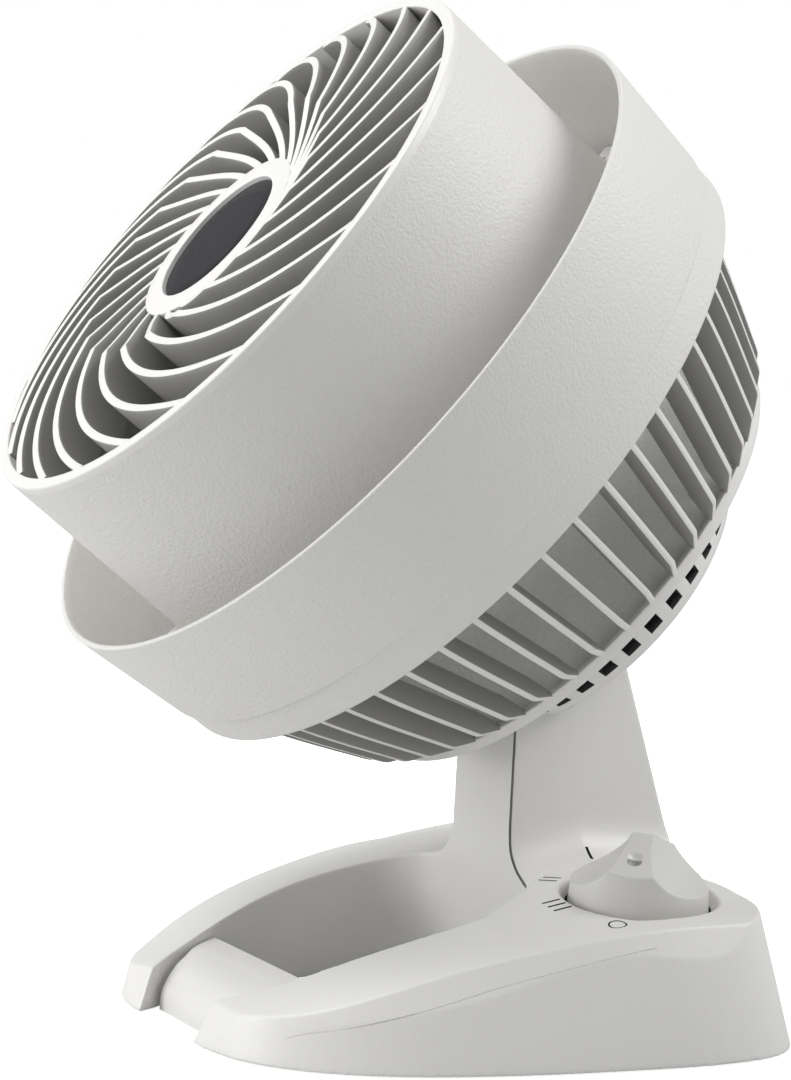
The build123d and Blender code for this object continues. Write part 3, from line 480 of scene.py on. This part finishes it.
# the inner skin and the slot walls take the cap's painted shade
for finish in ("smoothAbs", "paintedShadeCapInside"):
    capWork.data.materials.append(finishes[finish])
thicken = capWork.modifiers.new("wall", "SOLIDIFY")
thicken.thickness, thicken.offset = cap["wall"], -1
thicken.material_offset = thicken.material_offset_rim = 1
notchBlock = bpy.data.objects.new("notchBlock", boxMesh(*cap["notch"], 1.0))
bpy.context.scene.collection.objects.link(notchBlock)
cut = capWork.modifiers.new("notch", "BOOLEAN")
cut.operation, cut.solver, cut.object = "DIFFERENCE", "EXACT", notchBlock
soften = capWork.modifiers.new("edges", "BEVEL")
soften.width, soften.segments = cap["softEdge"], 2
soften.limit_method, soften.angle_limit = "ANGLE", math.radians(40)
capFinal = bakedMesh(capWork, "rearCap")
bpy.data.objects.remove(notchBlock)
capFinal.shade_smooth()
capFinal.set_sharp_from_angle(angle=math.radians(35))
newPiece("rearCap", capFinal, None, "head", ["rear_motor_cap"], headPlace)
print("rear cap ready")


# moulded pieces of the stand and the knob, from their solids, with soft moulded edges
def softSkin(name, parts, voxelMm, rounds, faces=None):
    # one soft skin round all the parts; hollows that are sealed off don't count
    work = bmesh.new()
    for part in parts:
        work.from_mesh(part)
    mesh = bpy.data.meshes.new(name)
    bmesh.ops.remove_doubles(work, verts=work.verts, dist=1e-6)
    work.to_mesh(mesh)
    work.free()
    piece = bpy.data.objects.new(name + "Work", mesh)
    bpy.context.scene.collection.objects.link(piece)
    remesh = piece.modifiers.new("skin", "REMESH")
    remesh.mode, remesh.voxel_size, remesh.use_smooth_shade = "VOXEL", voxelMm * mm, True
    smooth = piece.modifiers.new("soften", "SMOOTH")
    smooth.factor, smooth.iterations = 0.5, rounds
    result = bakedMesh(piece, name)
    dropInside(result)
    if faces and len(result.polygons) * 2 > faces:
        piece = bpy.data.objects.new(name + "Work", result)
        bpy.context.scene.collection.objects.link(piece)
        thin = piece.modifiers.new("thin", "DECIMATE")
        thin.ratio = faces / (len(result.polygons) * 2)
        result = bakedMesh(piece, name)
    result.shade_smooth()
    return result


def dropInside(mesh):
    # keeps only the largest connected skin
    work = bmesh.new()
    work.from_mesh(mesh)
    unseen, largest = set(work.verts), []
    while unseen:
        stack, island = [unseen.pop()], []
        while stack:
            vert = stack.pop()
            island.append(vert)
            for edge in vert.link_edges:
                other = edge.other_vert(vert)
                if other in unseen:
                    unseen.remove(other)
                    stack.append(other)
        if len(island) > len(largest):
            largest = island
    keep = set(largest)
    bmesh.ops.delete(work, geom=[v for v in work.verts if v not in keep], context="VERTS")
    work.to_mesh(mesh)
    work.free()


def tubeMesh(name, points, radii, sides=8, endless=False):
    # closed tube along points given in millimetres
    rows, last = [], len(points) - 1
    for i, point in enumerate(points):
        after = points[(i + 1) % len(points) if endless else min(i + 1, last)]
        before = points[i - 1 if endless else max(i - 1, 0)]
        along = (Vector(after) - Vector(before)).normalized()
        across = along.cross(Vector((0, 1, 0.2))).normalized()
        up = along.cross(across)
        rows.append([(Vector(point) + (across * math.cos(a) + up * math.sin(a)) * radii[i]) * mm
                     for a in (2 * math.pi * k / sides for k in range(sides))])
    return tidyMesh(gridMesh(name, rows, True, True), near=1e-7) if endless else cappedMesh(name, rows, 1e-7)


def nodeMesh(node, raised=0.0, grown=0.0):
    # copy of a solid's mesh, its points moved up and outwards by millimetres
    work = bmesh.new()
    work.from_mesh(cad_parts[node].data)
    bmesh.ops.remove_doubles(work, verts=work.verts, dist=1e-6)
    work.normal_update()
    for vert in work.verts:
        vert.co += vert.normal * grown * mm + Vector((0, 0, raised * mm))
    mesh = bpy.data.meshes.new(node + "Copy")
    work.to_mesh(mesh)
    work.free()
    return mesh


# (the pad is level ground for the dial's marks; its reach is given by angle round the dial)
stand = {"voxel": 0.6, "rounds": 8, "faces": 185000, "padInner": 27.3, "padRim": 28.4, "padOuter": 37.0,
         "padTop": -0.1, "padEdge": -1.3, "padFoot": -16.0, "padSteps": 96,
         "padSlope": 1.8, "padFall": 1.2, "padFallFar": 0.38,  # how it drops as it runs out
         "padReach": ((-180, 6), (-150, 3), (-125, 3.5), (-112, 13), (-98, 21), (-72, 21), (-56, 12),
                      (-40, 0.8), (60, 0.8), (90, 2.5), (180, 6)),
         # the cord's inlet opens into a small dark chamber, and a plug closes the base under the knob
         "chamber": [((0, 78, 16), (24, 2, 24)), ((11, 85.4, 16), (2, 14, 24)),
                     ((-11, 85.4, 16), (2, 14, 24)), ((0, 85.4, 27), (24, 14, 2)),
                     ((0, 85.4, 5), (24, 14, 2))],
         "plug": ((74.2, 44.25, 42.2), (12, 12, 1.4)), "coverRaised": 2.2, "coverGrown": 0.5}
opening = {"start": -97.8, "half": 25.2, "spread": 0.62, "bend": 0.0018}


def openingHalf(y):
    # half the width between the prongs
    along = y - opening["start"]
    return opening["half"] + along * opening["spread"] - along ** 2 * opening["bend"]


def reachAt(angle):
    # how far the pad runs out at an angle round the dial, in degrees
    for (a, first), (b, second) in zip(stand["padReach"], stand["padReach"][1:]):
        if a <= angle <= b:
            return first + (second - first) * (angle - a) / (b - a)


def padMesh():
    # it runs out into the base's top towards the pedestal and the prong
    inner, outer, edge, foot = stand["padInner"], stand["padOuter"], stand["padEdge"], stand["padFoot"]
    rows = []
    for k in range(stand["padSteps"]):
        angle = 2 * math.pi * k / stand["padSteps"]
        far = reachAt(math.degrees(angle) if k <= stand["padSteps"] / 2 else math.degrees(angle) - 360)
        outline = [(inner, stand["padTop"]), (stand["padRim"], stand["padTop"]), (outer, edge)]
        fall = stand["padFallFar"] * far + stand["padFall"]
        outline += [(outer + far * t, edge - stand["padSlope"] * t - fall * t ** 1.5) for t in (0.25, 0.5, 1)]
        outline += [(outer + far, foot), (inner, foot)]
        rows.append([(r * math.cos(angle), r * math.sin(angle), z) for r, z in outline])
    return tidyMesh(gridMesh("pad", rows, True, True), dialPlace)


baseParts = [nodeMesh("base_shell"), nodeMesh("pedestal_front_cover"),
             nodeMesh("base_bottom_cover", stand["coverRaised"], stand["coverGrown"]), padMesh(),
             boxMesh(*stand["plug"])] + [boxMesh(*block) for block in stand["chamber"]]
baseMesh = softSkin("baseShell", baseParts, stand["voxel"], stand["rounds"], stand["faces"])

# the far prong's top falls a little more outwards than the solid's, as in the photograph
slope = {"drop": 4.5, "width": 38.0, "foot": 12.0, "from": 66.0, "fade": 30.0, "clear": 30.0, "blend": 10.0}
for vert in baseMesh.vertices:
    x, y, z = vert.co / mm
    share = [max(0.0, min(1.0, v)) for v in ((-x - openingHalf(y)) / slope["width"], z / slope["foot"],
                                             (slope["from"] - y) / slope["fade"],
                                             (-x - slope["clear"]) / slope["blend"])]
    vert.co.z -= slope["drop"] * share[0] * share[1] * share[2] * share[3] * mm


# grooves: the seam of the pedestal's front cover, the dial's marks and the gap round the knob, all three
# filled with painted shade, and the fine line under the base's bevel (a mark is an angle round the dial, its
# two radii and how many bars it has)
grooves = {"seam": 0.5, "mark": 0.58, "sink": 0.12, "barGap": 3.9, "crease": 0.24, "creaseSteps": 60,
           "creaseTaper": 9, "markSteps": 6, "oSteps": 24, "knobSteps": 48,
           "marks": ((172.7, 42.4, 48.2, 1), (-140.7, 28.8, 35.6, 2), (-88.0, 28.2, 35.0, 3)),
           "oAngle": -41.5, "oPlace": 32.4, "oRadius": 2.9, "oWidth": 0.36,
           "knobRadius": 24.35, "knobHeight": -4.3, "knobWidth": 0.7,
           "creaseLine": ((-86, 8.5), (-78, 12.2), (-66, 15.3), (-46, 21.0), (-22, 28.2), (0, 33.3),
                          (20, 37.2), (40, 39.8))}
fillFinishes = ("paintedShadeBlack", "baseAbs", "seamShade")
seam = {"corner": [(22.3, 24.5, 104), (22.3, 23.4, 84), (22.3, 22.6, 66)], "bendX": 37.5, "bendZ": 62.0,
        "bendRadius": 15.1, "bendSteps": 8, "bendY": 22.4, "backFrom": 27, "back": 0.016,
        "flare": [(39.5, 19.3, 46.3), (42, 18.1, 45.8)], "ends": [0.4, 0.32, 0.2], "farPoints": 5}


def seamPath(side):
    # down the pedestal's front corner, then out along its flare; the far side keeps only the corner
    path = list(seam["corner"])
    for k in range(seam["bendSteps"] + 1):
        turn = math.radians(90 * k / seam["bendSteps"])
        x = seam["bendX"] - seam["bendRadius"] * math.cos(turn)
        z = seam["bendZ"] - seam["bendRadius"] * math.sin(turn)
        path.append((x, seam["bendY"] - seam["back"] * max(0, x - seam["backFrom"]) ** 2, z))
    path += seam["flare"]
    return [(x * side, y, z) for x, y, z in (path if side > 0 else path[:seam["farPoints"]])]


def onSkin(tree, x, y):
    # point just under the base's top
    spot = tree.ray_cast(Vector((x, y, 300)) * mm, Vector((0, 0, -1)))[0]
    return (x, y, spot.z / mm - grooves["sink"])


def dialSpot(angle, r, across=0.0):
    # place round the dial, seen from above
    turn = math.radians(angle)
    return (dial["x"] + r * math.cos(turn) - across * math.sin(turn),
            dial["y"] + r * math.sin(turn) + across * math.cos(turn))


def creasePath(tree, side):
    # the line under the base's bevelled edge, found on its flank
    path = []
    for y, z in grooves["creaseLine"]:
        spot = tree.ray_cast(Vector((200 * side, y, z)) * mm, Vector((-side, 0, 0)))[0]
        path.append(spot / mm)
    return path


def ringPoints(radius, count):
    turns = (2 * math.pi * k / count for k in range(count))
    return [(radius * math.cos(turn), radius * math.sin(turn)) for turn in turns]


def grooveCutters(skin):
    # tubes laid along the skin; each carries the number of the finish it leaves behind
    work = bmesh.new()
    work.from_mesh(skin)
    tree = BVHTree.FromBMesh(work)
    work.free()
    tubes = []

    def addTube(name, path, radii, fill, endless=False):
        tubes.append(tubeMesh(name, path, radii, endless=endless))
        for face in tubes[-1].polygons:
            face.material_index = fillFinishes.index(fill)

    for side in (1, -1):
        path = []
        for spot in seamPath(side):
            near, normal = tree.find_nearest(Vector(spot) * mm)[:2]
            path.append(near / mm - normal * grooves["sink"])
        addTube("seam", path, [grooves["seam"]] * (len(path) - len(seam["ends"])) + seam["ends"], "seamShade")
    steps = grooves["markSteps"]
    # the marks are real grooves, filled with painted shade
    for angle, start, end, count in grooves["marks"]:
        for k in range(count):
            across = (k - (count - 1) / 2) * grooves["barGap"]
            path = [onSkin(tree, *dialSpot(angle, start + (end - start) * t / steps, across))
                    for t in range(steps + 1)]
            addTube("mark", path, [grooves["mark"]] * len(path), "paintedShadeBlack")
    middle = dialSpot(grooves["oAngle"], grooves["oPlace"])
    path = [onSkin(tree, middle[0] + x, middle[1] + y)
            for x, y in ringPoints(grooves["oRadius"], grooves["oSteps"])]
    addTube("o", path, [grooves["oWidth"]] * len(path), "paintedShadeBlack", True)
    # near black ring: a painted shadow in the gap round the knob
    path = [dialPlace @ Vector((x, y, grooves["knobHeight"])) / mm
            for x, y in ringPoints(grooves["knobRadius"], grooves["knobSteps"])]
    addTube("knobGap", path, [grooves["knobWidth"]] * len(path), "paintedShadeBlack", True)
    steps, taper = grooves["creaseSteps"], grooves["creaseTaper"]
    radii = [grooves["crease"] * min(1, (k + 1) / taper, (steps - k) / taper) for k in range(steps)]
    for side in (1, -1):
        addTube("crease", curveThrough(creasePath(tree, side), steps), radii, "baseAbs")
    return joinMeshes("cutters", tubes)


def engraved(name, mesh, cutterMesh, finish, fills):
    # cuts the grooves, whose faces keep the finish that each cutter carries
    mesh.materials.clear()
    mesh.materials.append(finishes[finish])
    for item in fills:
        cutterMesh.materials.append(finishes[item])
    piece = bpy.data.objects.new(name + "Work", mesh)
    cutter = bpy.data.objects.new(name + "Cutter", cutterMesh)
    for item in (piece, cutter):
        bpy.context.scene.collection.objects.link(item)
    cut = piece.modifiers.new("grooves", "BOOLEAN")
    cut.operation, cut.solver, cut.object = "DIFFERENCE", "MANIFOLD", cutter
    cut.material_mode = "TRANSFER"
    result = bakedMesh(piece, name)
    bpy.data.objects.remove(cutter)
    result.shade_smooth()
    result.set_sharp_from_angle(angle=math.radians(40))
    return result


baseMesh = engraved("baseShell", baseMesh, grooveCutters(baseMesh), "baseAbs", fillFinishes)
newPiece("baseShell", baseMesh, None, "stand", ["base_shell", "pedestal_front_cover"])
print("base ready, faces:", len(baseMesh.polygons))

# (top and underside of the ramp plate, as y and z from the front)
ramp = {"top": [(-89.2, 0.5), (-88.6, 5), (-87.0, 8.6), (-83.0, 12.9), (-78.8, 15.9), (-70.8, 18.9),
                (-61.6, 20.6)],
        "under": [(-61.6, 18.2), (-66, 17.2), (-70.5, 16.2), (-77.5, 13.4), (-81, 10.8), (-85, 6.4),
                  (-86.6, 0.5)],
        "gapBehind": 0.2, "gapInFront": 2.3, "gapFrom": -72.0, "gapOver": 5.0, "softEdge": 0.6,
        "edgeBack": 0.25, "edgeDown": 0.2}


def rampMesh():
    # thin sloping plate between the prongs, clear of them in front and touching them behind
    top = [tuple(p) for p in curveThrough(ramp["top"], 26)]
    rows = []
    for side, inset in ((-1, 0), (-1, ramp["softEdge"]), (1, ramp["softEdge"]), (1, 0)):
        row = []
        for k, (y, z) in enumerate(top + ramp["under"]):
            forward = max(0.0, min(1.0, (ramp["gapFrom"] - y) / ramp["gapOver"]))
            half = openingHalf(y) - (ramp["gapBehind"] + ramp["gapInFront"] * forward + inset)
            lowered = 0 if inset or k > len(top) - 2 else 1
            row.append((side * half * mm, (y + ramp["edgeBack"] * lowered) * mm,
                        (z - ramp["edgeDown"] * lowered) * mm))
        rows.append(row)
    return cappedMesh("rampPlate", rows, 1e-7)


newPiece("rampPlate", rampMesh(), "baseAbs", "stand", ["ramp_plate"])

knob = {"voxel": 0.38, "rounds": 5}
dimple = {"along": 14.8, "height": 16.4, "out": 0.4, "outward": (0.44, 0.9), "radius": 2.7}


def dimpleCutter():
    # ball that leaves a small round dimple on the grip's pointer side
    shift = Vector(dimple["outward"]) * dimple["out"]
    place = dialPlace @ Matrix.Rotation(math.radians(dial["pointer"]), 4, "Z") @ Matrix.Translation(
        (dimple["along"] + shift.x, 0, dimple["height"] + shift.y))
    work = bmesh.new()
    bmesh.ops.create_uvsphere(work, u_segments=32, v_segments=20, radius=dimple["radius"], matrix=place)
    mesh = bpy.data.meshes.new("dimple")
    work.to_mesh(mesh)
    work.free()
    return mesh


knobMesh = softSkin("speedKnob", [nodeMesh("speed_knob")], knob["voxel"], knob["rounds"])
# the dimple's faces take painted shade
knobMesh = engraved("speedKnob", knobMesh, dimpleCutter(), "knobAbs", ("paintedShadeAbs",))
newPiece("speedKnob", knobMesh, None, "knob", ["speed_knob"])
print("stand ready")

# what keeps its solid gets its real finish
nodeFinish = {
    "base_bottom_cover": "underAbs", "base_screws": "zincSteel", "rubber_feet": "footRubber",
    "cord_inlet_grommet": "blackNylon", "hinge_pin": "zincSteel", "hinge_nut": "zincSteel",
    "friction_washers": "blackNylon", "speed_switch_body": "blackNylon", "switch_nut": "zincSteel",
    "switch_shaft": "zincSteel", "duct_standoffs": "smoothAbs", "head_hinge_bracket": "zincSteel",
    "motor_front_bracket": "castAluminium", "motor_rear_bracket": "castAluminium",
    "front_bearing": "bearingSteel", "rear_bearing": "bearingSteel", "stator_core": "lamination",
    "stator_windings": "enamelCopper",
    "motor_screws": "zincSteel", "grille_screws": "zincSteel", "motor_shaft": "bearingSteel",
    "rotor_core": "lamination", "propeller": "greyPolypropylene", "propeller_nut": "blackNylon",
}
for node, finish in nodeFinish.items():
    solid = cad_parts[node]
    solid.data.materials.clear()
    solid.data.materials.append(finishes[finish])

# camera, floor and light
view = {"place": (978.0, -469.0, 238.6), "azimuth": 65.97, "elevation": 3.29, "lens": 103.33,
        "shiftX": 0.0532, "shiftY": -0.0317}
camera = bpy.data.objects.new("camera", bpy.data.cameras.new("camera"))
bpy.context.scene.collection.objects.link(camera)
camera.location = [v * mm for v in view["place"]]
camera.rotation_euler = (math.radians(90 - view["elevation"]), 0, math.radians(view["azimuth"]))
camera.data.sensor_fit, camera.data.sensor_height, camera.data.lens = "VERTICAL", 36, view["lens"]
camera.data.shift_x, camera.data.shift_y = view["shiftX"], view["shiftY"]
camera.data.clip_start, camera.data.clip_end = 0.05, 60
bpy.context.scene.camera = camera


# (lamps: place, aim, side in metres, power in watts)
light = {"world": 0.47, "floorLift": 0.87, "floor": "#DADADA", "floorBounce": "#CCCCCC", "floorHalf": 8.0,
         "lamps": {"leftBox": ((-0.55, -1.6, 0.45), (0, 0, 0.2), 0.9, 12.5),
                   "frontBox": ((-0.35, -0.8, 1.55), (0, 0, 0.2), 1.0, 14.5),
                   "rightBox": ((0.6, 1.1, 1.4), (0, 0, 0.15), 0.9, 16.0)}}


def seenDirectly(tree):
    # 1 for rays that come straight from the camera or through clear parts
    path = addNode(tree, "ShaderNodeLightPath").outputs
    return addNode(tree, "ShaderNodeMath", {0: path["Is Camera Ray"], 1: path["Is Transmission Ray"]},
                   operation="MAXIMUM").outputs[0]


def floorMaterial():
    # pale card that shows white to the camera and keeps only the object's own soft shadow
    material, tree = newMaterial("paleFloor")
    card = addNode(tree, "ShaderNodeBsdfDiffuse", {"Color": toLinear(light["floor"])}).outputs[0]
    lift = addNode(tree, "ShaderNodeEmission", {"Color": (1, 1, 1, 1), "Strength": light["floorLift"]})
    lifted = addNode(tree, "ShaderNodeAddShader", {0: card, 1: lift.outputs[0]}).outputs[0]
    dim = addNode(tree, "ShaderNodeBsdfDiffuse", {"Color": toLinear(light["floorBounce"])}).outputs[0]
    mixed = addNode(tree, "ShaderNodeMixShader", {0: seenDirectly(tree), 1: dim, 2: lifted}).outputs[0]
    addNode(tree, "ShaderNodeOutputMaterial", {"Surface": mixed})
    return material


half = light["floorHalf"]
floorMesh = bpy.data.meshes.new("floor")
floorMesh.from_pydata([(-half, -half, 0), (half, -half, 0), (half, half, 0), (-half, half, 0)], [],
                      [(0, 1, 2, 3)])
floorMesh.materials.append(floorMaterial())
floor = bpy.data.objects.new("floor", floorMesh)
bpy.context.scene.collection.objects.link(floor)

world = bpy.data.worlds.new("studio")
bpy.context.scene.world = world
world.use_nodes = True
sky = world.node_tree
sky.nodes.clear()
level = addNode(sky, "ShaderNodeMapRange", {"Value": seenDirectly(sky), "To Min": light["world"],
                                            "To Max": 1.0})
backdrop = addNode(sky, "ShaderNodeBackground", {"Color": (1, 1, 1, 1), "Strength": level.outputs[0]})
addNode(sky, "ShaderNodeOutputWorld", {"Surface": backdrop.outputs[0]})


def softbox(name, place, aim, side, power):
    area = bpy.data.lights.new(name, "AREA")
    area.shape, area.size, area.size_y, area.energy = "RECTANGLE", side, side, power
    lamp = bpy.data.objects.new(name, area)
    lamp.location = place
    lamp.rotation_euler = (Vector(aim) - Vector(place)).to_track_quat("-Z", "Y").to_euler()
    bpy.context.scene.collection.objects.link(lamp)


for name, (place, aim, side, power) in light["lamps"].items():
    softbox(name, place, aim, side, power)
bpy.context.scene.view_settings.view_transform = "Standard"
